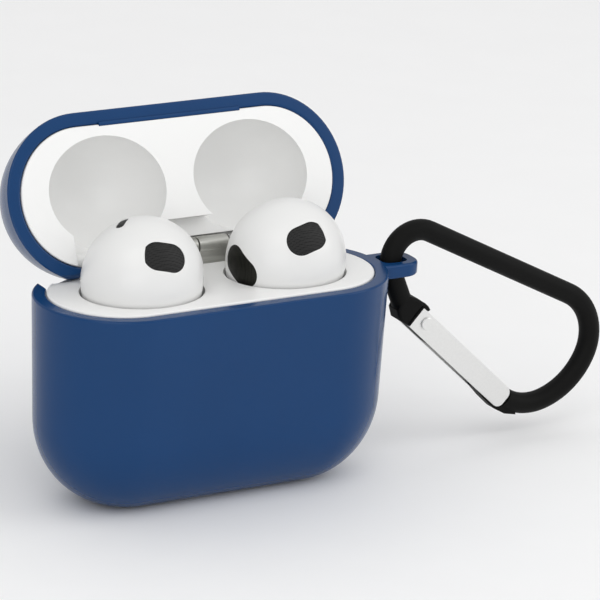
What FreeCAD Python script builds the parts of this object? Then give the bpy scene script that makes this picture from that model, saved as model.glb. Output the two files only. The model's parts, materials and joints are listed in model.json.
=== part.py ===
import FreeCAD, Part
import os
from math import cos, radians, sin, sqrt
from FreeCAD import Matrix, Vector

# Wireless earbuds case in a two-piece protective cover, with a carabiner.
# Millimetres. Origin: centre of the flat face it stands on. +X right, -Y front, +Z up.
# The lid is modelled shut and then turned to its open rest pose.

# Overall sizes of the cover
WIDTH = 58.8
DEPTH = 26.2
BODY_HEIGHT = 33.25
LID_HEIGHT = 17.1
RIM_GAP = 0.6
# (corner along the width or depth, corner height, draft) of each half
BODY_CORNER_X = (12.0, 13.4, 0.93)
BODY_CORNER_Y = (8.3, 12.6, 1.6)
LID_CORNER_X = (12.0, 15.0, 2.81)
LID_CORNER_Y = (8.4, 15.0, 2.81)
# Depth of each skin below the outside of the cover
COVER_INNER = 2.15
CASE_OUTER = 2.25
CASE_INNER = 3.45
LINER_OUTER = 3.5
COVER_RIM_R = 0.45
CASE_RIM_R = 0.35
# Rims
DECK_Z = BODY_HEIGHT + 0.2
LINER_RIM_Z = DECK_Z + 0.2
LID_RIM_Z = BODY_HEIGHT + RIM_GAP
LID_TOP_Z = LID_RIM_Z + LID_HEIGHT
SKIN = 1.2
# Lid hinge; the boxes round it are (x, y, z) pairs measured from its axis
HINGE_Y = 9.49
HINGE_Z = 35.81
LID_OPEN_DEG = 113.36
BARREL_R = 1.4
PIN_R = 0.7
PIN_CLEAR = 0.05
BODY_KNUCKLE_X = (2.2, 7.4)
LID_KNUCKLE_X = (-2.0, 2.0)
BRACKET_Y = (-1.3, -0.3)
BRACKET_Z = (-9.5, -2.0)
BRACKET_ARM_Z = (-3.0, 0.0)
LEAF_ARM = (LID_KNUCKLE_X, (-0.5, 0.5), (0.0, 1.9))
LEAF_STRAP = ((-7.0, 7.0), (-1.6, 1.0), (1.5, 1.9))
SPRING_R = (0.85, 1.25)
SPRING_X = (7.65, 9.0)
# Room for the lid to swing
SWING_R = 3.05
SWING_X = (-23.5, 23.5)
SWING_SLOPE_DEG = 110
DOCK_SLOT_HALF = 7.6
DOCK_SLOT_Y = -1.45
COVER_NOTCH_HALF = 25.3
COVER_NOTCH_Y = 4.0
COVER_NOTCH_Z = 29.6
COVER_NOTCH_R = 2.6
LID_NOTCH_X = (-19.0, 19.0)
LID_NOTCH_Y = -3.0
LID_NOTCH_Z = (-9.0, 5.2)
LID_WEDGE_DEG = 38
LID_WEDGE_R = 2.75
REAR_EDGE_X = (-19.5, 19.5)
REAR_EDGE_Y = -4.5
REAR_EDGE_Z = (-9.0, 0.5)
REAR_EDGE_R = 1.2
BARREL_NOTCH_X = (-9.4, 9.4)
BARREL_NOTCH_Y = -1.7
BARREL_NOTCH_Z = (-9.0, 1.9)
# Earbuds
HEAD_X = 12.5
HEAD_Y = -0.5
HEAD_Z = 35.4
HEAD_RADIUS = 9.7
HEAD_HALF_DEPTH = 8.2
STEM_X = 17.5
STEM_TOP_R = 3.0
STEM_END_R = 2.7
STEM_END_Z = 14.2
WELL_CLEAR = 0.4
BOWL_CLEAR = 0.5
WELL_WALL = 0.9
BUD_WALL = 0.9
MESH_DEPTH = (0.12, 0.6)
SEAM_TURN = (-12, -40)
SEAM_OFFSET = (2.2, 2.4)
SEAM_STEM_DROP = 5.2
SEAM_STEM_R = 4.5
STEM_BOTTOM = 1.2
TIP_HEIGHT = 1.1
DRIVER_R = 5.4
DRIVER_HALF = 1.7
DRIVER_TURN = -55
DRIVER_OFFSET = (-2.2, -1.6)
BUD_CELL_Z = (3.0, 12.0)
BUD_CELL_R = 1.6
BUD_BOARD = ((1.0, 6.4), (3.2, 3.8), (-3.5, 3.5))
# Loop tab on the cover
TAB_Z = (31.0, 33.25)
TAB_Y = (-4.1, 2.8)
TAB_X = (26.0, 35.6)
TAB_R = 2.8
TAB_HOLE_X = (29.4, 33.8)
TAB_HOLE_Y = (-2.7, 1.5)
TAB_HOLE_R = 1.3
# Carabiner, drawn in a plane of constant Y as (x, z)
RING_Y = -0.6
ROD_R = 1.7
RING_SMALL = (36.3, 32.6, 4.8)
SPINE_DEG = -26.8
SPINE_LENGTH = 30.56
# (radius, angle where it ends) of the arcs round the wide end, down to the nose
WIDE_ARCS = ((8.4, -25), (12.0, -75), (9.0, -133))
LEG_DEG = 203
LEG_LENGTH = 5.8
# Gate, measured from the middle of its upper end: along it, and up out of it into the ring
GATE_START = (35.87, 23.47)
GATE_DROP_DEG = 42.8
GATE_LENGTH = 24.2
GATE_HALF = 1.85
GATE_HALF_Y = 1.85
GATE_SHEET = 0.6
GATE_TIP_R = 1.25
WEB_START = 4.4
GATE_PIVOT = (2.26, 0.35)
GATE_CLEAR = 0.12
TONGUE_HALF_Y = 1.1
TONGUE = ((-2.5, 5.4), (-1.83, 1.1))
RIVET_R = 0.7
RIVET_HEAD_R = 1.05
RIVET_HEAD = 0.3
GATE_SPRING = ((5.7, 11.0), (0.9, 1.15))
GATE_SPRING_HALF_Y = 0.8
# Outlines of the knuckle that carries the gate, of the lip over the gate's end and of the nose
KNUCKLE = ((-0.15, -1.9), (-2.0, -2.2), (-3.5, -1.3), (-4.1, 0.7), (-3.2, 1.75), (-1.6, 2.4), (-0.15, 2.6))
KNUCKLE_HALF_Y = 1.7
KNUCKLE_R = 0.6
LIP = ((-1.0, 1.97), (-1.0, 2.45), (-0.15, 2.62), (0.8, 2.6), (1.5, 2.4), (1.3, 1.97))
LIP_HALF_Y = 1.4
NOSE = ((18.3, -1.83), (21.0, -2.1), (24.0, -2.15), (26.3, -1.6), (28.2, -0.45), (26.5, 0.9), (18.3, 0.9))
# Inside the body: (x, y, z) pairs of boxes, and (radius, y, z) of round parts
BATTERY = ((-11.5, 11.5), (-4.4, 4.2), (9.8, 23.5))
BATTERY_R = 1.2
BOARD = ((-13.0, 13.0), (6.6, 7.4), (8.6, 28.0))
BOARD_CUT = ((-7.5, 7.5), (6.0, 8.0), (24.9, 29.0))
COIL_Z = 18.0
COIL_Y = (-7.7, -7.1, -6.7)
COIL_R = (4.2, 8.2)
FERRITE_R = 8.5
PORT_HALF = (4.5, 1.6)
PORT_WALL = 0.35
PORT_Z = (2.6, 9.0)
PORT_BACK = 0.4
TONGUE_PLATE = ((-3.3, 3.3), (-0.35, 0.35), (3.6, 8.6))
FLEX = ((-16.0, 16.0), (4.6, 4.8), (10.5, 13.0))
MAGNET_X = (-1.4, 1.4)
MAGNET_Y = -7.0
MAGNET_R = 0.9
MAGNET_HEIGHT = 2.0
WELL_HOLE_HALF = (1.9, 1.1)
WELL_HOLE_Z = (5.0, 15.0)
CONTACT_HALF = (3.2, 2.4)
CONTACT_Z = (9.6, 13.4)
PIN_X = (-1.2, 1.2)
CONTACT_PIN_R = 0.5
CONTACT_BORE_R = 0.62
PIN_SHOULDER_Z = 10.4
STALK_R = 0.35
YOKE_HALF = (1.7, 0.5)
YOKE_Z = (9.0, 9.5)
# Status light, under a thin skin of the deck
LIGHT_Y = -3.0
LIGHT_R = (0.75, 1.3)
LIGHT_Z = (29.0, 29.6)
LIGHT_SKIN = 0.3
# Openings in the bottom and the back, and the pairing button
COVER_PORT = (7.0, 3.5, 3.4)
CASE_PORT = (4.7, 1.8, 1.7)
PORT_TOP_Z = 5.0
BUTTON_Z = 20.0
BUTTON_R = 3.0
BUTTON_CLEAR = 0.15
COVER_BUTTON_R = 4.5
BUTTON_CAP = (1.6, 0.15)
BUTTON_FLANGE = (2.0, 1.5)
BUTTON_FLANGE_R = 1.6
SWITCH_HALF = 1.5
SWITCH_GAP = 2.45

FAR = 80.0
X_AXIS = Vector(1, 0, 0)
Y_AXIS = Vector(0, 1, 0)
Z_AXIS = Vector(0, 0, 1)
HINGE_POINT = Vector(0, HINGE_Y, HINGE_Z)

os.makedirs("parts", exist_ok=True)


def box(x, y, z):
    """Box from three (low, high) pairs."""
    return Part.makeBox(x[1] - x[0], y[1] - y[0], z[1] - z[0], Vector(x[0], y[0], z[0]))


def rod(start, end, radius, end_radius=None):
    """Cylinder or cone from one point to another."""
    start, end = Vector(*start), Vector(*end)
    run = end - start
    if end_radius is None:
        return Part.makeCylinder(radius, run.Length, start, run)
    return Part.makeCone(radius, end_radius, run.Length, start, run)


def rounded(shape, radius, axis):
    """Fillet the straight edges that run along one axis."""
    edges = []
    for edge in shape.Edges:
        run = edge.Vertexes[-1].Point - edge.Vertexes[0].Point
        if run.Length > 1e-6 and abs(run.normalize().dot(axis)) > 0.999:
            edges.append(edge)
    return shape.makeFillet(radius, edges)


def soften(shape, radius, pick):
    """Fillet the edges that pick chooses."""
    return shape.makeFillet(radius, [edge for edge in shape.Edges if pick(edge.BoundBox)])


def at_height(z):
    """Chooses the edges that lie flat at one height."""
    return lambda b: abs(b.ZMin - z) < 0.02 and abs(b.ZMax - z) < 0.02


def head_solid(grow):
    """Right earbud's head: a sphere flattened along Y, with its poles on that axis."""
    matrix = Matrix()
    matrix.scale(HEAD_RADIUS + grow, HEAD_HALF_DEPTH + grow, HEAD_RADIUS + grow)
    sphere = Part.makeSphere(1.0)
    sphere.rotate(Vector(), X_AXIS, 90)
    head = sphere.transformGeometry(matrix)
    head.translate(Vector(HEAD_X, HEAD_Y, HEAD_Z))
    return head


def stadium(half_x, half_y, z):
    """Outline with straight sides along X and round ends."""
    side = half_x - half_y
    a, b = Vector(-side, -half_y, z), Vector(side, -half_y, z)
    c, d = Vector(side, half_y, z), Vector(-side, half_y, z)
    edges = [
        Part.LineSegment(a, b),
        Part.Arc(b, Vector(half_x, 0, z), c),
        Part.LineSegment(c, d),
        Part.Arc(d, Vector(-half_x, 0, z), a),
    ]
    return Part.Wire([edge.toShape() for edge in edges])


def half_size(full, corner, height, depth, z):
    """Half width at height z, for the skin that lies depth below the outside."""
    reach, rise, draft = corner
    half = full / 2 - depth - draft * (1 - z / height)
    if z < rise:
        drop = (rise - z) / (rise - depth)
        half -= (reach - depth) * (1 - sqrt(max(0.0, 1 - drop * drop)))
    return half


def pod(height, corner_x, corner_y, depth, top):
    """Solid cup shape standing on z = depth, up to z = top."""
    rise = max(corner_x[1], corner_y[1])
    levels = [rise - (rise - depth) * cos(radians(a)) for a in (0, 8, 17, 28, 40, 54, 70, 90)]
    levels = [z for z in levels if z < top - 1]
    above = max(1, round((top - levels[-1]) / 4))
    levels += [levels[-1] + (top - levels[-1]) * (i + 1) / above for i in range(above)]
    wires = []
    for z in levels:
        half_x = half_size(WIDTH, corner_x, height, depth, z)
        half_y = half_size(DEPTH, corner_y, height, depth, z)
        wires.append(stadium(half_x, half_y, z))
    return Part.makeLoft(wires, True, False)


def body_pod(depth, top):
    return pod(BODY_HEIGHT, BODY_CORNER_X, BODY_CORNER_Y, depth, top)


def lid_pod(depth, rim_z):
    """The same for the lid, shut: its open end is at rim_z."""
    shape = pod(LID_HEIGHT, LID_CORNER_X, LID_CORNER_Y, depth, LID_TOP_Z - rim_z)
    shape.rotate(Vector(), X_AXIS, 180)
    shape.translate(Vector(0, 0, LID_TOP_Z))
    return shape


def slot_hole(size, z):
    """Obround cutter of (half width, half depth, corner radius) between two heights."""
    half_x, half_y, radius = size
    return rounded(box((-half_x, half_x), (-half_y, half_y), z), radius, Z_AXIS)


def hinge_rod(radius, x):
    return rod((x[0], HINGE_Y, HINGE_Z), (x[1], HINGE_Y, HINGE_Z), radius)


def hinge_box(x, y, z):
    """Box measured from the hinge axis."""
    return box(x, (HINGE_Y + y[0], HINGE_Y + y[1]), (HINGE_Z + z[0], HINGE_Z + z[1]))


def open_lid(shape):
    """Turn a piece of the shut lid to its open rest pose."""
    turned = shape.copy()
    turned.rotate(HINGE_POINT, X_AXIS, -LID_OPEN_DEG)
    return turned


def mirrored(shape, side):
    """Left copy of a piece made on the right (side = 1)."""
    return shape if side > 0 else shape.mirror(Vector(), X_AXIS)


NODES = {}


def keep(name, shape):
    NODES[name] = shape


# ---------------------------------------------------------------- protective cover


def cover_body():
    cover = body_pod(0.0, BODY_HEIGHT).cut(body_pod(COVER_INNER, BODY_HEIGHT + 1))
    cover = soften(cover, COVER_RIM_R, at_height(BODY_HEIGHT))
    # flat loop on the right-hand end, which the carabiner passes through
    tab = rounded(box(TAB_X, TAB_Y, TAB_Z), TAB_R, Z_AXIS).cut(body_pod(COVER_INNER, BODY_HEIGHT + 1))
    hole = rounded(box(TAB_HOLE_X, TAB_HOLE_Y, (TAB_Z[0] - 1, TAB_Z[1] + 1)), TAB_HOLE_R, Z_AXIS)
    cover = cover.fuse(tab).cut(hole)
    notch = box((-COVER_NOTCH_HALF, COVER_NOTCH_HALF), (COVER_NOTCH_Y, FAR), (COVER_NOTCH_Z, FAR))
    cover = cover.cut(rounded(notch, COVER_NOTCH_R, Y_AXIS))
    keep("cover_body", cover.cut(slot_hole(COVER_PORT, (-1, 4))).cut(rear_hole(COVER_BUTTON_R)))


def rear_hole(radius):
    return rod((0, DEPTH / 4, BUTTON_Z), (0, DEPTH, BUTTON_Z), radius)


def cover_lid():
    cover = lid_pod(0.0, LID_RIM_Z).cut(lid_pod(COVER_INNER, LID_RIM_Z - 1))
    cover = soften(cover, COVER_RIM_R, at_height(LID_RIM_Z))
    cover = cover.cut(hinge_box(LID_NOTCH_X, (LID_NOTCH_Y, FAR), LID_NOTCH_Z))
    # behind the barrel line the rim is trimmed to a wedge that swings clear of the body
    wedge = hinge_box((-FAR, FAR), (0, FAR), (-FAR, FAR))
    wedge.rotate(HINGE_POINT, X_AXIS, -LID_WEDGE_DEG)
    wedge = wedge.cut(hinge_rod(LID_WEDGE_R, (-FAR, FAR)))
    keep("cover_lid", open_lid(cover.cut(wedge)))


# ---------------------------------------------------------------- white case


def swing_relief():
    """Room in the body for the lid's rear edge as it turns."""
    relief = hinge_rod(SWING_R, SWING_X)
    chamfer = hinge_box(SWING_X, (0, FAR), (-FAR, 0))
    slope = hinge_box(SWING_X, (-FAR, FAR), (-FAR, 0))
    slope.rotate(HINGE_POINT, X_AXIS, SWING_SLOPE_DEG)
    return relief.fuse(chamfer.common(slope))


def case_body_shell():
    shell = body_pod(CASE_OUTER, DECK_Z).cut(body_pod(CASE_INNER, DECK_Z + 1))
    shell = soften(shell, CASE_RIM_R, at_height(DECK_Z)).cut(swing_relief())
    shell = shell.cut(slot_hole(CASE_PORT, (0, PORT_TOP_Z)))
    keep("case_body_shell", shell.cut(rear_hole(BUTTON_R + BUTTON_CLEAR)))


def bud_solid(grow):
    """Outside of the right earbud, grown all round."""
    top, end = (STEM_X, HEAD_Y, HEAD_Z - 1), (STEM_X, HEAD_Y, STEM_END_Z - grow)
    return head_solid(grow).fuse(rod(top, end, STEM_TOP_R + grow, STEM_END_R + grow))


def stem_box(half, z):
    """Box of (half width, half depth) on the axis of the right earbud's stem."""
    return box((STEM_X - half[0], STEM_X + half[0]), (HEAD_Y - half[1], HEAD_Y + half[1]), z)


def dock_insert():
    block = body_pod(LINER_OUTER, DECK_Z)
    deck = block.common(box((-FAR, FAR), (-FAR, FAR), (DECK_Z - SKIN, FAR)))
    for side in (1, -1):
        deck = deck.fuse(mirrored(bud_solid(WELL_CLEAR + WELL_WALL), side).common(block))
    for side in (1, -1):
        deck = deck.cut(mirrored(bud_solid(WELL_CLEAR), side))
        deck = deck.cut(mirrored(stem_box(WELL_HOLE_HALF, WELL_HOLE_Z), side))
    deck = deck.cut(swing_relief())
    deck = deck.cut(hinge_box((-DOCK_SLOT_HALF, DOCK_SLOT_HALF), (DOCK_SLOT_Y, FAR), (-FAR, 0)))
    keep("dock_insert", deck.cut(light_rod(LIGHT_Z[0], DECK_Z - LIGHT_SKIN, LIGHT_R[0] + 0.05)))
    guide = light_rod(LIGHT_Z[1], DECK_Z - LIGHT_SKIN - 0.05, LIGHT_R[0])
    keep("status_light_guide", guide.fuse(light_rod(*LIGHT_Z, LIGHT_R[1])))


def light_rod(low, high, radius):
    return rod((0, LIGHT_Y, low), (0, LIGHT_Y, high), radius)


def rear_edge_relief():
    """Rear rim of the lid is rounded about the hinge axis; the barrel has its own notch."""
    low = hinge_box(REAR_EDGE_X, (REAR_EDGE_Y, FAR), REAR_EDGE_Z)
    low = low.cut(hinge_rod(REAR_EDGE_R, (-FAR, FAR)))
    return low.fuse(hinge_box(BARREL_NOTCH_X, (BARREL_NOTCH_Y, FAR), BARREL_NOTCH_Z))


def case_lid_shell():
    shell = lid_pod(CASE_OUTER, LINER_RIM_Z).cut(lid_pod(CASE_INNER, LINER_RIM_Z - 1))
    shell = soften(shell, CASE_RIM_R, at_height(LINER_RIM_Z))
    keep("case_lid_shell", open_lid(shell.cut(rear_edge_relief())))


def lid_liner():
    block = lid_pod(LINER_OUTER, LINER_RIM_Z)
    rim = block.common(box((-FAR, FAR), (-FAR, FAR), (-FAR, LINER_RIM_Z + SKIN)))
    for side in (1, -1):
        rim = rim.fuse(mirrored(head_solid(BOWL_CLEAR + WELL_WALL), side).common(block))
    for side in (1, -1):
        rim = rim.cut(mirrored(head_solid(BOWL_CLEAR), side))
        stem = rod((STEM_X, HEAD_Y, HEAD_Z - 3), (STEM_X, HEAD_Y, HEAD_Z), STEM_TOP_R + BOWL_CLEAR)
        rim = rim.cut(mirrored(stem, side))
    keep("lid_liner", open_lid(rim.cut(rear_edge_relief())))


# ---------------------------------------------------------------- hinge


def hinge():
    low, high = BODY_KNUCKLE_X
    bracket = hinge_box((-high, high), BRACKET_Y, BRACKET_Z)
    for x in ((-high, -low), (low, high)):
        arm = hinge_box(x, BRACKET_Y, BRACKET_ARM_Z).fuse(hinge_rod(BARREL_R, x))
        bracket = bracket.fuse(arm)
    keep("hinge_bracket", bracket.cut(hinge_rod(PIN_R, (-FAR, FAR))))
    leaf = hinge_rod(BARREL_R, LID_KNUCKLE_X).fuse(hinge_box(*LEAF_ARM)).fuse(hinge_box(*LEAF_STRAP))
    keep("hinge_leaf", open_lid(leaf.cut(hinge_rod(PIN_R + PIN_CLEAR, (-FAR, FAR)))))
    keep("hinge_pin", hinge_rod(PIN_R, (-high - 0.1, high + 0.1)))
    # torsion spring beside the barrel, drawn as one coiled sleeve
    keep("hinge_spring", hinge_rod(SPRING_R[1], SPRING_X).cut(hinge_rod(SPRING_R[0], (-FAR, FAR))))


# ---------------------------------------------------------------- earbuds


def seam_tool():
    """Half space on the ear side of the seam of the right earbud."""
    tool = box((-FAR, FAR), (-FAR, 0), (-FAR, FAR))
    tool.rotate(Vector(), X_AXIS, SEAM_TURN[0])
    tool.rotate(Vector(), Z_AXIS, SEAM_TURN[1])
    tool.translate(Vector(HEAD_X + SEAM_OFFSET[0], HEAD_Y + SEAM_OFFSET[1], HEAD_Z))
    return tool.cut(stem_rod(-FAR, HEAD_Z - SEAM_STEM_DROP, SEAM_STEM_R))


def stem_rod(low, high, radius, end_radius=None):
    """Rod on the axis of the right earbud's stem, between two heights."""
    return rod((STEM_X, HEAD_Y, low), (STEM_X, HEAD_Y, high), radius, end_radius)


def slot_shape(length, width, thickness):
    """Obround plate in the XZ plane, centred on the origin."""
    half = (length - width) / 2
    plate = box((-half, half), (-thickness / 2, thickness / 2), (-width / 2, width / 2))
    for x in (-half, half):
        plate = plate.fuse(rod((x, -thickness / 2, 0), (x, thickness / 2, 0), width / 2))
    return plate.removeSplitter()


def placed(shape, azimuth, elevation, facing, tilt):
    """Put a plate, made facing -Y, on the right head where azimuth and elevation leave it."""
    shape = shape.copy()
    shape.rotate(Vector(), Y_AXIS, tilt)
    shape.rotate(Vector(), X_AXIS, -facing[1])
    shape.rotate(Vector(), Z_AXIS, facing[0])
    a, e = radians(azimuth), radians(elevation)
    way = Vector(sin(a) * cos(e), -cos(a) * cos(e), sin(e))
    flat = (way.x ** 2 + way.z ** 2) / HEAD_RADIUS ** 2
    reach = 1 / sqrt(flat + (way.y / HEAD_HALF_DEPTH) ** 2)
    shape.translate(Vector(HEAD_X, HEAD_Y, HEAD_Z) + way * reach)
    return shape


# length, width and depth of each opening, then its place, the way it faces and its tilt
OPENINGS = {
    "front_vent": ((6.8, 4.5, 3.0), (-3, 39, (-18, 26), -23)),
    "speaker_mesh": ((7.4, 4.6, 3.4), (-80, 3, (-78, 6), 33)),
    "top_vent": ((3.2, 1.4, 3.0), (106, 69, (112, 68), -27)),
}


def bud_shell(openings):
    """Whole hollow shell of the right earbud, with its openings and a seat for the tip ring."""
    bore = stem_rod(STEM_END_Z + STEM_BOTTOM, HEAD_Z - 1, STEM_END_R - BUD_WALL, STEM_TOP_R - BUD_WALL)
    shell = bud_solid(0).cut(head_solid(-BUD_WALL)).cut(bore)
    for opening in openings.values():
        shell = shell.cut(opening)
    return shell


def earbud(side, word):
    """One earbud, made on the right and mirrored for the left."""

    def keep_piece(name, shape):
        keep("bud_%s_%s" % (word, name), mirrored(shape, side))

    openings = {name: placed(slot_shape(*size), *place) for name, (size, place) in OPENINGS.items()}
    for name, shape in openings.items():
        keep_piece(name, shape.common(head_solid(-MESH_DEPTH[0])).cut(head_solid(-MESH_DEPTH[1])))
    tip_top = STEM_END_Z + TIP_HEIGHT
    core = stem_rod(STEM_END_Z - 1, tip_top + 1, STEM_END_R - BUD_WALL)
    keep_piece("tip_contact", stem_rod(STEM_END_Z, tip_top, STEM_END_R + 0.05).cut(core))
    seat = stem_rod(STEM_END_Z - 1, tip_top, STEM_END_R + 1).cut(core)
    shell = bud_shell(openings).cut(seat)
    keep_piece("front_shell", shell.common(seam_tool()))
    keep_piece("stem_shell", shell.cut(seam_tool()))
    driver = rod((0, -DRIVER_HALF, 0), (0, DRIVER_HALF, 0), DRIVER_R)
    driver.rotate(Vector(), Z_AXIS, DRIVER_TURN)
    driver.translate(Vector(HEAD_X + DRIVER_OFFSET[0], HEAD_Y + DRIVER_OFFSET[1], HEAD_Z))
    keep_piece("driver", driver)
    keep_piece("cell", stem_rod(STEM_END_Z + BUD_CELL_Z[0], STEM_END_Z + BUD_CELL_Z[1], BUD_CELL_R))
    board = box(*BUD_BOARD)
    board.translate(Vector(HEAD_X, HEAD_Y, HEAD_Z))
    keep_piece("board", board)


# ---------------------------------------------------------------- inside the body


def internals():
    keep("battery_cell", rounded(box(*BATTERY), BATTERY_R, X_AXIS))
    keep("main_board", box(*BOARD).cut(box(*BOARD_CUT)))
    front, middle, back = COIL_Y
    keep("coil_ferrite", rod((0, middle, COIL_Z), (0, back, COIL_Z), FERRITE_R))
    coil = rod((0, front, COIL_Z), (0, middle, COIL_Z), COIL_R[1])
    keep("charging_coil", coil.cut(rod((0, front - 1, COIL_Z), (0, middle + 1, COIL_Z), COIL_R[0])))
    half_x, half_y = PORT_HALF
    inner = (half_x - PORT_WALL, half_y - PORT_WALL, half_y - PORT_WALL - 0.05)
    port = slot_hole((half_x, half_y, half_y - 0.1), PORT_Z)
    keep("charge_port", port.cut(slot_hole(inner, (0, PORT_Z[1] - PORT_BACK))))
    keep("port_tongue", box(*TONGUE_PLATE))
    keep("lid_magnets", open_lid(magnets(LINER_RIM_Z + SKIN + 0.1)))
    keep("body_magnets", magnets(DECK_Z - SKIN - MAGNET_HEIGHT - 0.2))
    keep("contact_flex", box(*FLEX))
    for side, word in ((1, "right"), (-1, "left")):
        contacts(side, word)


def magnets(z):
    """Joined pair of magnets on the front wall, standing on height z."""
    left, right = [rod((x, MAGNET_Y, z), (x, MAGNET_Y, z + MAGNET_HEIGHT), MAGNET_R) for x in MAGNET_X]
    return left.fuse(right)


def contacts(side, word):
    """Block under one well, with the two sprung pins that touch the earbud's tip."""
    block = stem_box(CONTACT_HALF, CONTACT_Z)
    pins = stem_box(YOKE_HALF, YOKE_Z)
    for x in PIN_X:
        place = Vector(x, 0, 0)
        block = block.cut(stem_rod(0, DECK_Z, CONTACT_BORE_R).translated(place))
        pins = pins.fuse(stem_rod(PIN_SHOULDER_Z, STEM_END_Z - 0.06, CONTACT_PIN_R).translated(place))
        pins = pins.fuse(stem_rod(YOKE_Z[1] - 0.1, PIN_SHOULDER_Z + 0.1, STALK_R).translated(place))
    block = block.cut(mirrored(NODES["dock_insert"], side))
    keep("contact_block_" + word, mirrored(block, side))
    keep("contact_pins_" + word, mirrored(pins, side))


def pairing_button():
    outer_y = half_size(DEPTH, BODY_CORNER_Y, BODY_HEIGHT, CASE_OUTER, BUTTON_Z)

    def disc(depths, radius):
        return rod((0, outer_y - depths[0], BUTTON_Z), (0, outer_y - depths[1], BUTTON_Z), radius)

    keep("pair_button", disc(BUTTON_CAP, BUTTON_R).fuse(disc(BUTTON_FLANGE, BUTTON_FLANGE_R)))
    half = (-SWITCH_HALF, SWITCH_HALF)
    switch = box(half, (BOARD[1][1], outer_y - SWITCH_GAP), (BUTTON_Z + half[0], BUTTON_Z + half[1]))
    keep("button_switch", switch)


# ---------------------------------------------------------------- carabiner


def ring_point(x, z):
    return Vector(x, RING_Y, z)


def ring_dir(angle):
    return Vector(cos(radians(angle)), 0, sin(radians(angle)))


def ring_arc(centre, radius, start, end):
    """Arc in the carabiner's plane; angles in degrees from +X towards +Z."""
    points = [centre + ring_dir(a) * radius for a in (start, (start + end) / 2, end)]
    return Part.Arc(*points).toShape()


def ring_path():
    """Centre line of the bent rod, from the end of the leg round to the nose."""
    x, z, radius = RING_SMALL
    centre = ring_point(x, z)
    top = SPINE_DEG + 90
    leg_top = centre + ring_dir(LEG_DEG) * radius
    leg_end = leg_top + ring_dir(LEG_DEG + 90) * LEG_LENGTH
    spine_start = centre + ring_dir(top) * radius
    spine_end = spine_start + ring_dir(SPINE_DEG) * SPINE_LENGTH
    edges = [
        Part.LineSegment(leg_end, leg_top).toShape(),
        ring_arc(centre, radius, LEG_DEG, top),
        Part.LineSegment(spine_start, spine_end).toShape(),
    ]
    centre, angle = spine_end, top
    for index, (radius, end) in enumerate(WIDE_ARCS):
        before = 0 if index == 0 else WIDE_ARCS[index - 1][0]
        centre = centre + ring_dir(angle) * (before - radius)
        edges.append(ring_arc(centre, radius, angle, end))
        angle = end
    return edges, leg_end


def rod_along(edges):
    wire = Part.Wire(edges)
    start = wire.Edges[0]
    point = start.valueAt(start.FirstParameter)
    way = start.tangentAt(start.FirstParameter)
    section = Part.Wire([Part.Circle(point, way, ROD_R).toShape()])
    return wire.makePipeShell([section], True, True)


def on_gate(shape):
    """Move a piece from the gate's own frame (+X along it, +Z up into the ring) into place."""
    shape.rotate(Vector(), Y_AXIS, GATE_DROP_DEG)
    shape.translate(ring_point(*GATE_START))
    return shape


def gate_slab(along, up, half_y):
    return on_gate(box(along, (-half_y, half_y), up))


def gate_pin(radius, half_y):
    """Cylinder about the gate's pivot."""
    along, up = GATE_PIVOT
    return on_gate(rod((along, -half_y, up), (along, half_y, up), radius))


def gate_prism(outline, half_y, edge_radius=0.0):
    """Prism of an (along, up) outline, with its two outline edges rounded."""
    points = [Vector(along, -half_y, up) for along, up in outline]
    prism = Part.Face(Part.makePolygon(points + points[:1])).extrude(Vector(0, 2 * half_y, 0))
    if edge_radius:
        prism = soften(prism, edge_radius, lambda b: b.YLength < 0.01)
    return on_gate(prism)


def carabiner_frame():
    """Bent rod, the knuckle at one end and the nose at the other, both inside the gate."""
    edges, leg_end = ring_path()
    reach = GATE_LENGTH - GATE_PIVOT[0] + GATE_SHEET
    gate_sweep = gate_pin(reach, FAR).common(gate_slab((GATE_LENGTH / 2, FAR), (-FAR, GATE_HALF + 1), FAR))
    body = rod_along(edges).cut(gate_sweep)
    corner = sqrt(GATE_PIVOT[0] ** 2 + (GATE_HALF - GATE_PIVOT[1]) ** 2)
    knuckle = gate_prism(KNUCKLE, KNUCKLE_HALF_Y, KNUCKLE_R).cut(gate_pin(corner + GATE_CLEAR, FAR))
    body = body.multiFuse([
        Part.makeSphere(ROD_R, leg_end),
        knuckle,
        gate_prism(LIP, LIP_HALF_Y),
        gate_slab(*TONGUE, TONGUE_HALF_Y),
        gate_prism(NOSE, TONGUE_HALF_Y),
    ])
    keep("carabiner_frame", body.cut(gate_pin(RIVET_R, FAR)))


def carabiner_gate():
    """Folded sheet, open on its outer side, with only its cheeks beside the pivot."""
    sheet = gate_slab((0, GATE_LENGTH), (-GATE_HALF, GATE_HALF), GATE_HALF_Y)
    tip = ring_point(*GATE_START) + gate_way() * (GATE_LENGTH / 2)
    sheet = sheet.makeFillet(GATE_TIP_R, [edge for edge in sheet.Edges if is_tip_edge(edge, tip)])
    inside = GATE_HALF_Y - GATE_SHEET
    sheet = sheet.cut(gate_slab((-FAR, FAR), (-FAR, GATE_HALF - GATE_SHEET), inside))
    sheet = sheet.cut(gate_slab((-FAR, WEB_START), (-FAR, FAR), inside))
    keep("carabiner_gate", sheet.cut(gate_pin(RIVET_R + PIN_CLEAR, FAR)))
    outer = GATE_HALF_Y + RIVET_HEAD + 0.05
    heads = gate_pin(RIVET_HEAD_R, outer).cut(gate_pin(FAR, GATE_HALF_Y + 0.05))
    keep("gate_rivet", gate_pin(RIVET_R, outer).fuse(heads))
    keep("gate_spring", gate_slab(*GATE_SPRING, GATE_SPRING_HALF_Y))


def gate_way():
    return ring_dir(-GATE_DROP_DEG)


def is_tip_edge(edge, middle):
    """True for the edges across the gate that lie beyond its middle."""
    way = edge.tangentAt(edge.FirstParameter)
    return abs(way.y) > 0.999 and (edge.CenterOfMass - middle).dot(gate_way()) > 0


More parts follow.
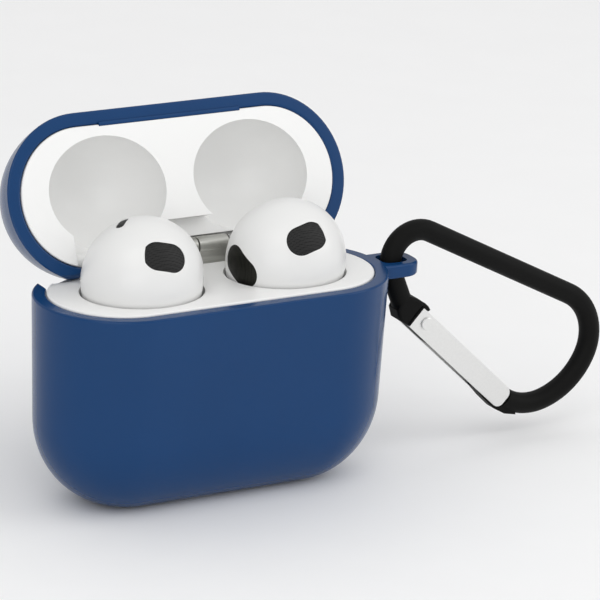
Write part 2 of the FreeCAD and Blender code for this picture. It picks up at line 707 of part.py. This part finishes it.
cover_body()
cover_lid()
case_body_shell()
dock_insert()
case_lid_shell()
lid_liner()
hinge()
earbud(1, "right")
earbud(-1, "left")
internals()
pairing_button()
carabiner_frame()
carabiner_gate()

for name, shape in NODES.items():
    if not shape.isValid():
        print("invalid", name)
    if len(shape.Solids) != 1:
        print(name, "solids:", len(shape.Solids))
    shape.exportStep("parts/%s.step" % name)
print(len(NODES), "nodes")
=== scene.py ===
import json
from math import cos, pi, radians, sin, sqrt

import bmesh
import bpy
from mathutils import Matrix, Vector


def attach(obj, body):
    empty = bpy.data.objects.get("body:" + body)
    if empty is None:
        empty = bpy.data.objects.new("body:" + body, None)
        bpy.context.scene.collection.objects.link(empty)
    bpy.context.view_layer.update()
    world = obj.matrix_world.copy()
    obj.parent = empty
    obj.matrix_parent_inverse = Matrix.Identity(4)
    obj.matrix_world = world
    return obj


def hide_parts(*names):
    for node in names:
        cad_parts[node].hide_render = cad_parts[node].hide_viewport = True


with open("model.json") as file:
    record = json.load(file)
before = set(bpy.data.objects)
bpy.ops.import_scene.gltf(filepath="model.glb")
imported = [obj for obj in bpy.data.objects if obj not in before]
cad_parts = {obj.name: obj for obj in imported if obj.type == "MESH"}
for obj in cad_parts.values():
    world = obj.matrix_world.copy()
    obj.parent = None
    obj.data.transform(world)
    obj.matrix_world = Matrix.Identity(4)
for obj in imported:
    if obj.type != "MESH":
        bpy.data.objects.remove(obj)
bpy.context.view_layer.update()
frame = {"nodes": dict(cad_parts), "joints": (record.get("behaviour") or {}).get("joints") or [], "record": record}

# Wireless earbuds case in a glossy cover with a carabiner. Metres, in the CAD model's frame.
# Covers, white shells and earbud shells are rebuilt here as smooth meshes. The carabiner, the
# hinge and everything inside are the CAD nodes with finished materials, and those in sight have
# softened edges.

MM = 0.001

# Cover and case
WIDTH = 58.8 * MM
DEPTH = 26.2 * MM
BODY_HEIGHT = 33.25 * MM
LID_HEIGHT = 17.1 * MM
LID_RIM_Z = 33.85 * MM
LID_TOP_Z = LID_RIM_Z + LID_HEIGHT
DECK_Z = 33.45 * MM
LINER_RIM_Z = 33.65 * MM
# (corner along the width or depth, corner height, draft) of each half
BODY_CORNERS = ((12.0 * MM, 13.4 * MM, 0.93 * MM), (8.3 * MM, 12.6 * MM, 1.6 * MM))
LID_CORNERS = ((12.0 * MM, 15.0 * MM, 2.81 * MM), (8.4 * MM, 15.0 * MM, 2.81 * MM))
COVER_INNER = 2.15 * MM
CASE_OUTER = 2.25 * MM
CASE_INNER = 3.45 * MM
SKIN = 1.2 * MM
# Earbuds
HEAD = Vector((12.5, -0.5, 35.4)) * MM
HEAD_RADII = Vector((9.7, 8.2, 9.7)) * MM
STEM_X = 17.5 * MM
STEM_TOP_R = 3.0 * MM
STEM_END_R = 2.7 * MM
STEM_END_Z = 14.2 * MM
BUD_WALL = 0.9 * MM
WELL_CLEAR = 0.4 * MM
WELL_WALL = 0.9 * MM
BOWL_CLEAR = 0.5 * MM
POLE_CAP = radians(0.3)
# Openings and edges
BUTTON_Z = 20 * MM
BUTTON_HOLE_R = 3.15 * MM
COVER_BUTTON_HOLE_R = 4.5 * MM
CASE_EDGE = 0.35 * MM
TAB_Y = (-4.1 * MM, 2.8 * MM)
TAB_RIGHT = 35.6 * MM
TAB_UNDERSIDE = 31.0 * MM
TAB_HOLE_X = (29.4 * MM, 33.8 * MM)
TAB_HOLE_Y = (-2.7 * MM, 1.5 * MM)
NOTCH_HALF_X = 25.3 * MM
NOTCH_Z = 29.6 * MM
COVER_SLOPE_DEG = -38
RELIEF_SLOPE_DEG = 110
LIP_HALF_X = 12.3 * MM
# Carabiner
GATE_DROP_DEG = 42.8

joints = {joint["name"]: joint for joint in frame["joints"]}
HINGE = Vector(joints["lid_hinge"]["pos_m"])
LID_OPEN = radians(joints["lid_hinge"]["range_deg"][1])
FAR = 80 * MM  # beyond every face of the object


# ---------------------------------------------------------------- materials


def new_material(name, colour, roughness, metallic=0.0, coat=0.0, specular=0.5):
    material = bpy.data.materials.new(name)
    material.use_nodes = True
    shader = material.node_tree.nodes["Principled BSDF"]
    shader.inputs["Base Color"].default_value = (*colour, 1)
    shader.inputs["Roughness"].default_value = roughness
    shader.inputs["Metallic"].default_value = metallic
    shader.inputs["Coat Weight"].default_value = coat
    shader.inputs["Coat Roughness"].default_value = 0.08
    shader.inputs["Specular IOR Level"].default_value = specular
    return material


def node(material, kind, **values):
    made = material.node_tree.nodes.new(kind)
    for key, value in values.items():
        if key in made.inputs:
            made.inputs[key].default_value = value
        else:
            setattr(made, key, value)
    return made


def link(material, source, target):
    material.node_tree.links.new(source, target)


def shader_input(material, name):
    return material.node_tree.nodes["Principled BSDF"].inputs[name]


def noise(material, scale, detail=3.0, stretch=(1, 1, 1)):
    """Noise in the object's own coordinates; scale is in features per metre."""
    place = node(material, "ShaderNodeTexCoord")
    mapping = node(material, "ShaderNodeMapping")
    mapping.inputs["Scale"].default_value = stretch
    texture = node(material, "ShaderNodeTexNoise", Scale=scale, Detail=detail)
    link(material, place.outputs["Object"], mapping.inputs["Vector"])
    link(material, mapping.outputs["Vector"], texture.inputs["Vector"])
    return texture.outputs["Fac"]


def vary_colour(material, factor, dark, light):
    ramp = node(material, "ShaderNodeValToRGB")
    ramp.color_ramp.elements[0].color = (*dark, 1)
    ramp.color_ramp.elements[1].color = (*light, 1)
    ramp.color_ramp.elements[0].position = 0.3
    ramp.color_ramp.elements[1].position = 0.7
    link(material, factor, ramp.inputs["Fac"])
    link(material, ramp.outputs["Color"], shader_input(material, "Base Color"))


def vary_roughness(material, factor, low, high):
    spread = node(material, "ShaderNodeMapRange")
    spread.inputs["To Min"].default_value = low
    spread.inputs["To Max"].default_value = high
    link(material, factor, spread.inputs["Value"])
    link(material, spread.outputs["Result"], shader_input(material, "Roughness"))


def bump(material, height, distance, strength=1.0):
    raised = node(material, "ShaderNodeBump")
    raised.inputs["Distance"].default_value = distance
    raised.inputs["Strength"].default_value = strength
    link(material, height, raised.inputs["Height"])
    link(material, raised.outputs["Normal"], shader_input(material, "Normal"))


def shades(colour, spread):
    """Darker and lighter shade of a colour."""
    return [c * (1 - spread) for c in colour], [min(1.0, c * (1 + spread)) for c in colour]


def moulded(name, colour, roughness, coat=0.0, spread=0.06, texture=900.0, depth=0.01 * MM,
            specular=0.5):
    """Moulded plastic: slight colour drift, smudged gloss and a fine mould texture."""
    material = new_material(name, colour, roughness, 0.0, coat, specular)
    vary_colour(material, noise(material, 60.0), *shades(colour, spread))
    vary_roughness(material, noise(material, 240.0, 5.0), roughness * 0.85, roughness * 1.2)
    bump(material, noise(material, texture, 4.0), depth, 0.35)
    return material


def metal(name, colour, roughness, stretch=(1, 1, 1), depth=0.01 * MM, spread=0.12):
    """Worked metal: fine lines along one axis, where stretch is small."""
    material = new_material(name, colour, roughness, 1.0)
    lines = noise(material, 2500.0, 4.0, stretch)
    vary_colour(material, lines, *shades(colour, spread))
    vary_roughness(material, lines, roughness * (1 - spread), roughness * (1 + spread))
    bump(material, lines, depth, 0.4)
    return material


def woven_mesh(name, colour, pitch):
    """Fine metal mesh: round holes at one pitch."""
    material = new_material(name, colour, 0.45, 0.7)
    place = node(material, "ShaderNodeTexCoord")
    cells = node(material, "ShaderNodeTexVoronoi", Scale=1 / pitch, Randomness=0.0)
    link(material, place.outputs["Object"], cells.inputs["Vector"])
    holes = node(material, "ShaderNodeMath", operation="LESS_THAN")
    holes.inputs[1].default_value = 0.33
    link(material, cells.outputs["Distance"], holes.inputs[0])
    mix = node(material, "ShaderNodeMix", data_type="RGBA")
    mix.inputs["A"].default_value = (*colour, 1)
    mix.inputs["B"].default_value = (0.001, 0.001, 0.001, 1)
    link(material, holes.outputs["Value"], mix.inputs["Factor"])
    link(material, mix.outputs["Result"], shader_input(material, "Base Color"))
    bump(material, cells.outputs["Distance"], 0.05 * MM, 0.8)
    return material


MATERIALS = {
    "cover_blue": moulded("cover_blue", (0.004, 0.042, 0.140), 0.24, 0.06, 0.04, 2200.0,
                          0.002 * MM, 0.2),
    "case_white": moulded("case_white", (0.86, 0.86, 0.85), 0.36, 0.08, 0.01, 2200.0, 0.002 * MM),
    "bud_white": moulded("bud_white", (0.78, 0.78, 0.77), 0.3, 0.12, 0.01, 2200.0, 0.002 * MM),
    "hinge_steel": metal("hinge_steel", (0.50, 0.50, 0.47), 0.34, (0.04, 1, 1)),
    "spring_steel": metal("spring_steel", (0.42, 0.42, 0.41), 0.3),
    "light_guide": moulded("light_guide", (0.75, 0.82, 0.76), 0.1, 0.5),
    "circuit_board": moulded("circuit_board", (0.02, 0.12, 0.06), 0.4, 0.2, 0.2),
    "port_metal": metal("port_metal", (0.62, 0.62, 0.62), 0.28),
    "inner_plastic": moulded("inner_plastic", (0.03, 0.03, 0.03), 0.5),
    "cell_wrap": moulded("cell_wrap", (0.2, 0.22, 0.25), 0.35, 0.2),
    "copper": metal("copper", (0.75, 0.36, 0.18), 0.3),
    "ferrite": moulded("ferrite", (0.06, 0.06, 0.06), 0.7),
    "flex_film": moulded("flex_film", (0.55, 0.25, 0.04), 0.3, 0.3),
    "magnet": metal("magnet", (0.55, 0.55, 0.55), 0.2),
    "carabiner_black": moulded("carabiner_black", (0.003, 0.003, 0.0028), 0.55, 0.0, 0.15,
                               2600.0, 0.008 * MM, 0.12),
    "gate_metal": metal("gate_metal", (0.80, 0.80, 0.79), 0.34, (1, 1, 1), 0.001 * MM, 0.02),
    "contact_gold": metal("contact_gold", (0.83, 0.62, 0.25), 0.2),
    "speaker_mesh": woven_mesh("speaker_mesh", (0.018, 0.018, 0.014), 0.28 * MM),
    "vent_mesh": woven_mesh("vent_mesh", (0.022, 0.022, 0.022), 0.24 * MM),
    "driver_metal": metal("driver_metal", (0.4, 0.4, 0.4), 0.3),
}


# CAD nodes in sight whose edges are softened, with the width of the softening
SOFT_NODES = {
    "carabiner_frame": 0.25 * MM,
    "carabiner_gate": 0.18 * MM,
    "gate_rivet": 0.12 * MM,
    "hinge_bracket": 0.12 * MM,
    "hinge_leaf": 0.12 * MM,
    "pair_button": 0.2 * MM,
}


def finish_cad_nodes():
    slots = {part["node"]: part["material_slot"] for part in frame["record"]["subparts"]}
    for name, obj in frame["nodes"].items():
        obj.data.materials.clear()
        obj.data.materials.append(MATERIALS[slots[name]])
        if name in SOFT_NODES:
            obj.modifiers.new("weld", "WELD").merge_threshold = 0.001 * MM
            bevel_edges(obj, SOFT_NODES[name], 2, 40)
            obj.modifiers.new("even_normals", "WEIGHTED_NORMAL").keep_sharp = True


# ---------------------------------------------------------------- mesh helpers


def mesh_object(name, verts, faces):
    mesh = bpy.data.meshes.new(name)
    mesh.from_pydata([tuple(v) for v in verts], [], faces)
    obj = bpy.data.objects.new(name, mesh)
    bpy.context.scene.collection.objects.link(obj)
    bm = bmesh.new()
    bm.from_mesh(mesh)
    bmesh.ops.recalc_face_normals(bm, faces=bm.faces)
    bm.to_mesh(mesh)
    bm.free()
    return obj


def bake(obj):
    """Apply every modifier, so that what follows sees the final mesh."""
    bpy.context.view_layer.update()
    graph = bpy.context.evaluated_depsgraph_get()
    made = bpy.data.meshes.new_from_object(obj.evaluated_get(graph))
    obj.modifiers.clear()
    obj.data = made
    return obj


def boolean(obj, cutter, operation="DIFFERENCE"):
    modifier = obj.modifiers.new("cut", "BOOLEAN")
    modifier.operation = operation
    modifier.solver = "EXACT"
    modifier.object = cutter
    bake(obj)
    bpy.data.objects.remove(cutter)
    return obj


def bevel_edges(obj, width, segments, angle):
    modifier = obj.modifiers.new("soft_edges", "BEVEL")
    modifier.width = width
    modifier.segments = segments
    modifier.limit_method = "ANGLE"
    modifier.angle_limit = radians(angle)
    modifier.use_clamp_overlap = True


def soften(obj, width, segments=3, angle=35):
    bevel_edges(obj, width, segments, angle)
    return bake(obj)


def smooth(obj, angle=40):
    """Smooth shading, with edges sharper than angle kept sharp."""
    mesh = obj.data
    mesh.polygons.foreach_set("use_smooth", [True] * len(mesh.polygons))
    bm = bmesh.new()
    bm.from_mesh(mesh)
    for edge in bm.edges:
        sharp = len(edge.link_faces) == 2 and edge.calc_face_angle(0) > radians(angle)
        edge.smooth = not sharp
    bm.to_mesh(mesh)
    bm.free()
    obj.modifiers.new("even_normals", "WEIGHTED_NORMAL").keep_sharp = True
    return obj


def finish_piece(obj, slot, body, *nodes):
    obj.data.materials.clear()
    obj.data.materials.append(MATERIALS[slot])
    if nodes:
        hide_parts(*nodes)
    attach(obj, body)
    return obj


def rings_to_mesh(name, rings):
    """Skin rings of equal point count; the end rings are capped."""
    count = len(rings[0])
    verts = [point for ring in rings for point in ring]
    faces = []
    for row in range(len(rings) - 1):
        for i in range(count):
            j = (i + 1) % count
            a, b = row * count, (row + 1) * count
            faces.append((a + i, a + j, b + j, b + i))
    faces.append(tuple(range(count)))
    faces.append(tuple((len(rings) - 1) * count + i for i in range(count)))
    return mesh_object(name, verts, faces)


def stadium(half_x, half_y, z, arc=40, side=24):
    """Outline with straight sides along X and round ends."""
    reach = half_x - half_y
    points = []
    for end in (1, -1):
        for i in range(arc):
            a = radians(-90) + pi * i / arc
            points.append(Vector((end * (reach + half_y * cos(a)), end * half_y * sin(a), z)))
        for i in range(side):
            x = reach - 2 * reach * i / side
            points.append(Vector((end * x, end * half_y, z)))
    return points


def half_size(full, corner, height, depth, z):
    """Half the width or depth of a skin this far inside the outer face, at height z."""
    reach, rise, draft = corner
    half = full / 2 - depth - draft * (1 - z / height)
    if z < rise:
        drop = (rise - z) / (rise - depth)
        half -= (reach - depth) * (1 - sqrt(max(0.0, 1 - drop * drop)))
    return half


def pod_ring(height, corners, depth, z):
    return stadium(half_size(WIDTH, corners[0], height, depth, z),
                   half_size(DEPTH, corners[1], height, depth, z), z)


def pod_rows(corners, depth, top, corner_rows=26, side_rows=14):
    """Heights of the rings of one skin, from its flat end to top."""
    rise = max(corners[0][1], corners[1][1])
    rows = [rise - (rise - depth) * cos(radians(90 * i / corner_rows))
            for i in range(corner_rows + 1)]
    return rows + [rise + (top - rise) * (i + 1) / side_rows for i in range(side_rows)]


def cup(name, height, corners, outer, inner, top, edge):
    """Hollow half of the case or cover, standing on its closed end, with a rounded rim."""
    rings = [pod_ring(height, corners, outer, z) for z in pod_rows(corners, outer, top - edge)]
    for i in range(1, 7):
        a = radians(15 * i)
        rings.append(pod_ring(height, corners, outer + edge * (1 - cos(a)),
                              top - edge + edge * sin(a)))
    for i in range(7):
        a = radians(15 * i)
        rings.append(pod_ring(height, corners, inner - edge * (1 - sin(a)),
                              top - edge + edge * cos(a)))
    inner_rows = pod_rows(corners, inner, top - edge)[:-1]
    rings += [pod_ring(height, corners, inner, z) for z in reversed(inner_rows)]
    return rings_to_mesh(name, rings)


def pod_plug(height, corners, depth, top):
    """Cutter that fills one half up to top, with a sharp rim."""
    rows = pod_rows(corners, depth, top)
    return rings_to_mesh("plug", [pod_ring(height, corners, depth, z) for z in rows])


def solid_pod(name, height, corners, outer, top, edge=0.2 * MM):
    """Solid half with a rounded rim."""
    rows = pod_rows(corners, outer, top - edge)
    rings = [pod_ring(height, corners, outer, z) for z in rows]
    for i in range(1, 5):
        a = radians(22.5 * i)
        rings.append(pod_ring(height, corners, outer + edge * (1 - cos(a)),
                              top - edge + edge * sin(a)))
    return rings_to_mesh(name, rings)


def turn_over(obj):
    """From a cup standing on its closed end to the shut lid."""
    obj.data.transform(Matrix.Translation((0, 0, LID_TOP_Z)) @ Matrix.Rotation(pi, 4, "X"))
    return obj


def turn_about_hinge(obj, angle):
    swing = Matrix.Rotation(angle, 4, "X")
    obj.data.transform(Matrix.Translation(HINGE) @ swing @ Matrix.Translation(-HINGE))
    return obj


def open_lid(obj):
    """Turn a piece of the shut lid to its open rest pose."""
    return turn_about_hinge(obj, -LID_OPEN)


def block(name, low, high, radius=0.0, axis="Z", steps=8):
    """Box cutter, with the edges along one axis rounded."""
    order = {"X": (1, 2, 0), "Y": (2, 0, 1), "Z": (0, 1, 2)}[axis]
    low, high = Vector(low), Vector(high)
    u0, v0, u1, v1 = low[order[0]], low[order[1]], high[order[0]], high[order[1]]
    radius = max(radius, 1e-5)
    outline = []
    for cu, cv, start in ((u1 - radius, v1 - radius, 0), (u0 + radius, v1 - radius, 90),
                          (u0 + radius, v0 + radius, 180), (u1 - radius, v0 + radius, 270)):
        for i in range(steps + 1):
            a = radians(start + 90 * i / steps)
            outline.append((cu + radius * cos(a), cv + radius * sin(a)))
    rings = []
    for w in (low[order[2]], high[order[2]]):
        ring = []
        for u, v in outline:
            point = Vector((0, 0, 0))
            point[order[0]], point[order[1]], point[order[2]] = u, v, w
            ring.append(point)
        rings.append(ring)
    return rings_to_mesh(name, rings)


def tube(name, start, end, radius, end_radius=None, count=64):
    """Round rod, tapered where end_radius is given."""
    start, end = Vector(start), Vector(end)
    turn = (end - start).to_track_quat("Z", "Y")
    rings = []
    for centre, r in ((start, radius), (end, radius if end_radius is None else end_radius)):
        ring = []
        for i in range(count):
            a = 2 * pi * i / count
            ring.append(centre + turn @ Vector((r * cos(a), r * sin(a), 0)))
        rings.append(ring)
    return rings_to_mesh(name, rings)


def hinge_rod(radius, half_x):
    """Rod on the hinge axis."""
    return tube("rod", (-half_x, HINGE.y, HINGE.z), (half_x, HINGE.y, HINGE.z), radius, None, 96)


def hinge_block(x, y, z, radius=0.0, axis="Z"):
    """Block whose y and z are measured from the hinge axis."""
    return block("block", (x[0], HINGE.y + y[0], HINGE.z + z[0]),
                 (x[1], HINGE.y + y[1], HINGE.z + z[1]), radius, axis)


def button_bore(radius):
    return tube("button", (0, 5 * MM, BUTTON_Z), (0, 20 * MM, BUTTON_Z), radius)


# ---------------------------------------------------------------- cover


def cover_body():
    cover = cup("cover_body_skin", BODY_HEIGHT, BODY_CORNERS, 0.0, COVER_INNER, BODY_HEIGHT,
                CASE_EDGE)
    tab = block("tab", (26 * MM, TAB_Y[0], TAB_UNDERSIDE), (TAB_RIGHT, TAB_Y[1], BODY_HEIGHT),
                2.8 * MM, "Z", 16)
    soften(tab, 0.45 * MM, 4, 50)
    boolean(tab, pod_plug(BODY_HEIGHT, BODY_CORNERS, COVER_INNER - 0.3 * MM, BODY_HEIGHT + MM))
    boolean(cover, tab, "UNION")
    boolean(cover, block("hole", (TAB_HOLE_X[0], TAB_HOLE_Y[0], 30 * MM),
                         (TAB_HOLE_X[1], TAB_HOLE_Y[1], 40 * MM), 1.3 * MM))
    notch = block("notch", (-NOTCH_HALF_X, 4 * MM, NOTCH_Z), (NOTCH_HALF_X, FAR, FAR),
                  2.6 * MM, "Y")
    boolean(cover, notch)
    boolean(cover, block("port", (-7 * MM, -3.5 * MM, -MM), (7 * MM, 3.5 * MM, 4 * MM), 3.4 * MM))
    boolean(cover, button_bore(COVER_BUTTON_HOLE_R))
    soften(cover, 0.3 * MM, 3, 50)
    finish_piece(smooth(cover), "cover_blue", "case", "cover_body")


def cover_lid():
    cover = turn_over(cup("cover_lid_skin", LID_HEIGHT, LID_CORNERS, 0.0, COVER_INNER, LID_HEIGHT,
                          CASE_EDGE))
    boolean(cover, hinge_block((-19 * MM, 19 * MM), (-3 * MM, FAR), (-9 * MM, 5.2 * MM),
                               2 * MM, "Y"))
    wedge = turn_about_hinge(hinge_block((-FAR, FAR), (0, FAR), (-FAR, FAR)),
                             radians(COVER_SLOPE_DEG))
    boolean(wedge, hinge_rod(2.75 * MM, FAR))
    boolean(cover, wedge)
    boolean(cover, front_lip(0.0), "UNION")
    soften(cover, 0.25 * MM, 3, 50)
    finish_piece(open_lid(smooth(cover)), "cover_blue", "lid", "cover_lid")


def front_lip(clear):
    """Ledge inside the front of the lid's cover, which hooks over the white rim."""
    back = -DEPTH / 2 + COVER_INNER
    return block("lip", (-LIP_HALF_X - clear, back - 0.3 * MM, LINER_RIM_Z - 0.08 * MM - clear),
                 (LIP_HALF_X + clear, back + 0.4 * MM + clear, LINER_RIM_Z + 0.8 * MM + clear),
                 0.25 * MM, "X")


# ---------------------------------------------------------------- white case


def swing_relief(half_x=23.5 * MM):
    """Room in the body for the lid's rear edge as it turns."""
    slope = turn_about_hinge(hinge_block((-2 * half_x, 2 * half_x), (-FAR, FAR), (-FAR, 0)),
                             radians(RELIEF_SLOPE_DEG))
    chamfer = boolean(hinge_block((-half_x, half_x), (0, FAR), (-FAR, 0)), slope, "INTERSECT")
    return boolean(hinge_rod(3.05 * MM, half_x - 0.01 * MM), chamfer, "UNION")


def bud_solid(side, grow):
    """Head and stem in one, thicker by grow all round."""
    head = head_mesh(side, grow)
    stem = tube("stem", (side * STEM_X, HEAD.y, HEAD.z - MM),
                (side * STEM_X, HEAD.y, STEM_END_Z - grow), STEM_TOP_R + grow, STEM_END_R + grow)
    return boolean(head, stem, "UNION")


def head_mesh(side, grow, rows=64, count=128):
    """Earbud head, a flattened sphere with its poles on the Y axis."""
    centre = Vector((side * HEAD.x, HEAD.y, HEAD.z))
    radii = HEAD_RADII + Vector((grow, grow, grow))
    rings = []
    for row in range(rows + 1):
        a = min(max(pi * row / rows, POLE_CAP), pi - POLE_CAP)
        ring = []
        for i in range(count):
            b = 2 * pi * i / count
            way = Vector((sin(a) * cos(b), -cos(a), sin(a) * sin(b)))
            ring.append(centre + Vector((r * w for r, w in zip(radii, way))))
        rings.append(ring)
    return rings_to_mesh("head", rings)


def case_body():
    """White shell and dock in one: a closed deck with a thin-walled well for each earbud."""
    white = solid_pod("case_body_white", BODY_HEIGHT, BODY_CORNERS, CASE_OUTER, DECK_Z, CASE_EDGE)
    boolean(white, solid_pod("hollow", BODY_HEIGHT, BODY_CORNERS, CASE_INNER, DECK_Z - SKIN))
    inside = CASE_INNER - 0.1 * MM
    for side in (1, -1):
        well = bud_solid(side, WELL_CLEAR + WELL_WALL)
        limit = solid_pod("limit", BODY_HEIGHT, BODY_CORNERS, inside, DECK_Z - 0.3 * MM)
        boolean(well, limit, "INTERSECT")
        boolean(white, well, "UNION")
    for side in (1, -1):
        boolean(white, bud_solid(side, WELL_CLEAR))
        hole_x = side * STEM_X
        boolean(white, block("contacts", (hole_x - 1.9 * MM, HEAD.y - 1.1 * MM, 5 * MM),
                             (hole_x + 1.9 * MM, HEAD.y + 1.1 * MM, 15 * MM)))
    boolean(white, swing_relief())
    # slot for the hinge bracket, which has to stay inside the rear wall
    boolean(white, hinge_block((-7.6 * MM, 7.6 * MM), (-1.45 * MM, 0.1 * MM), (-10 * MM, 0)))
    boolean(white, block("port", (-4.7 * MM, -1.8 * MM, 0), (4.7 * MM, 1.8 * MM, 5 * MM), 1.7 * MM))
    boolean(white, button_bore(BUTTON_HOLE_R))
    soften(white, 0.3 * MM, 3, 30)
    finish_piece(smooth(white), "case_white", "case", "case_body_shell", "dock_insert")


def rear_edge(obj):
    """Round the rear rim about the hinge axis, and notch it for the barrel."""
    low = hinge_block((-19.5 * MM, 19.5 * MM), (-4.5 * MM, FAR), (-9 * MM, 0.5 * MM))
    boolean(low, hinge_rod(1.2 * MM, FAR))
    boolean(obj, low)
    return boolean(obj, hinge_block((-9.4 * MM, 9.4 * MM), (-1.7 * MM, FAR), (-9 * MM, 1.9 * MM)))


def case_lid():
    """White lid and its liner in one, with a bowl over each earbud."""
    rim = LID_TOP_Z - LINER_RIM_Z
    white = turn_over(solid_pod("case_lid_white", LID_HEIGHT, LID_CORNERS, CASE_OUTER, rim,
                                CASE_EDGE))
    for side in (1, -1):
        boolean(white, head_mesh(side, BOWL_CLEAR))
        boolean(white, tube("stem", (side * STEM_X, HEAD.y, HEAD.z - 3 * MM),
                            (side * STEM_X, HEAD.y, HEAD.z), STEM_TOP_R + BOWL_CLEAR))
    rear_edge(white)
    boolean(white, front_lip(0.05 * MM))
    soften(white, 0.5 * MM, 4, 25)
    finish_piece(open_lid(smooth(white)), "case_white", "lid", "case_lid_shell", "lid_liner")


# ---------------------------------------------------------------- earbuds


def plate(length, width, thickness, steps=16):
    """Obround plate facing -Y, centred on the origin."""
    half = (length - width) / 2
    outline = []
    for centre, start in ((half, -90), (-half, 90)):
        for i in range(steps + 1):
            a = radians(start + 180 * i / steps)
            outline.append((centre + width / 2 * cos(a), width / 2 * sin(a)))
    rings = [[Vector((x, y, z)) for x, z in outline] for y in (-thickness / 2, thickness / 2)]
    return rings_to_mesh("plate", rings)


def place_plate(obj, side, azimuth, elevation, facing, tilt):
    """Put a plate on the head where azimuth (0 is the front) and elevation leave it."""
    a, e = radians(azimuth), radians(elevation)
    way = Vector((sin(a) * cos(e), -cos(a) * cos(e), sin(e)))
    reach = 1 / sqrt(sum((w / r) ** 2 for w, r in zip(way, HEAD_RADII)))
    turn = Matrix.Rotation(radians(facing[0]), 4, "Z")
    turn = turn @ Matrix.Rotation(-radians(facing[1]), 4, "X")
    turn = turn @ Matrix.Rotation(radians(tilt), 4, "Y")
    obj.data.transform(Matrix.Translation(HEAD + way * reach) @ turn)
    if side < 0:
        obj.data.transform(Matrix.Scale(-1, 4, (1, 0, 0)))
        obj.data.flip_normals()
    return obj


# size of each plate, then where it is, which way it faces, and how it is tilted
VENTS = {
    "front_vent": ((6.8 * MM, 4.5 * MM, 3.0 * MM), (-3, 39, (-18, 26), -23)),
    "speaker_mesh": ((7.4 * MM, 4.6 * MM, 3.4 * MM), (-80, 3, (-78, 6), 33)),
    "top_vent": ((3.2 * MM, 1.4 * MM, 3.0 * MM), (106, 69, (112, 68), -27)),
}


def earbud(side, word):
    head = bud_solid(side, 0.0)
    head.name = "bud_%s_shell" % word
    boolean(head, head_mesh(side, -BUD_WALL))
    for size, place in VENTS.values():
        boolean(head, place_plate(plate(*size), side, *place))
    soften(head, 0.12 * MM, 2, 50)
    finish_piece(smooth(head), "bud_white", "bud_" + word, "bud_%s_front_shell" % word,
                 "bud_%s_stem_shell" % word)


# ---------------------------------------------------------------- carabiner


def knuckle_web():
    """Web between the gate's cheeks, which closes the gap behind the gate's square end."""
    web = block("knuckle_web", (-3.4 * MM, -1.1 * MM, 0.55 * MM), (-1.76 * MM, 1.1 * MM, 1.58 * MM),
                0.2 * MM, "Y")
    pivot = Vector(joints["gate_hinge"]["pos_m"])
    turn = Matrix.Rotation(radians(GATE_DROP_DEG), 4, "Y")
    web.data.transform(Matrix.Translation(pivot) @ turn)
    finish_piece(smooth(web), "carabiner_black", "carabiner")


# ---------------------------------------------------------------- stage


SKY_STRENGTH = 0.9
FLOOR_HALF = 3.0


def stage():
    corners = [(-1, -1), (1, -1), (1, 1), (-1, 1)]
    floor = mesh_object("floor", [(FLOOR_HALF * x, FLOOR_HALF * y, 0) for x, y in corners],
                        [(0, 1, 2, 3)])
    white = moulded("floor_white", (0.94, 0.94, 0.94), 0.7, 0.0, 0.005, 40.0)
    floor.data.materials.append(white)
    world = bpy.data.worlds.new("studio")
    bpy.context.scene.world = world
    world.use_nodes = True
    tree = world.node_tree
    place = tree.nodes.new("ShaderNodeTexCoord")
    split = tree.nodes.new("ShaderNodeSeparateXYZ")
    sky = tree.nodes.new("ShaderNodeValToRGB")
    sky.color_ramp.elements[0].position = 0.0
    sky.color_ramp.elements[0].color = (0.5, 0.5, 0.51, 1)
    sky.color_ramp.elements[1].position = 0.75
    sky.color_ramp.elements[1].color = (1, 1, 1, 1)
    tree.links.new(place.outputs["Generated"], split.inputs["Vector"])
    tree.links.new(split.outputs["Z"], sky.inputs["Fac"])
    tree.links.new(sky.outputs["Color"], tree.nodes["Background"].inputs["Color"])
    tree.nodes["Background"].inputs["Strength"].default_value = SKY_STRENGTH


def softbox(name, place, aim, size, power):
    data = bpy.data.lights.new(name, "AREA")
    data.shape = "RECTANGLE"
    data.size, data.size_y = size
    data.energy = power
    lamp = bpy.data.objects.new(name, data)
    bpy.context.scene.collection.objects.link(lamp)
    lamp.location = place
    lamp.rotation_mode = "QUATERNION"
    lamp.rotation_quaternion = (Vector(aim) - Vector(place)).to_track_quat("-Z", "Y")


CAMERA_AT = Vector((-291.6, -515.9, 230.0)) * MM
CAMERA_AIM = Vector((12.82, -4.86, 30.10)) * MM
CAMERA_RIGHT = Vector((0.8765, -0.4800, 0.0384))
CAMERA_LENS = 244.5


def camera():
    data = bpy.data.cameras.new("camera")
    data.lens = CAMERA_LENS
    data.sensor_width = 36.0
    data.clip_start, data.clip_end = 0.05, 20
    cam = bpy.data.objects.new("camera", data)
    bpy.context.scene.collection.objects.link(cam)
    back = (CAMERA_AT - CAMERA_AIM).normalized()
    up = back.cross(CAMERA_RIGHT).normalized()
    right = up.cross(back)
    turn = Matrix((right, up, back)).transposed().to_4x4()
    cam.matrix_world = Matrix.Translation(CAMERA_AT) @ turn
    bpy.context.scene.camera = cam


bpy.context.scene.view_settings.view_transform = "Standard"
finish_cad_nodes()
stage()
softbox("key", (-0.35, -0.45, 0.6), (0, 0, 0.02), (0.5, 0.5), 0.8)
softbox("front", (-0.34, -0.55, 0.12), (0, 0.01, 0.04), (0.5, 0.3), 0.65)
softbox("fill", (0.5, -0.35, 0.35), (0, 0, 0.02), (0.4, 0.5), 0.9)
camera()
cover_body()
cover_lid()
case_body()
case_lid()
knuckle_web()
earbud(1, "right")
earbud(-1, "left")
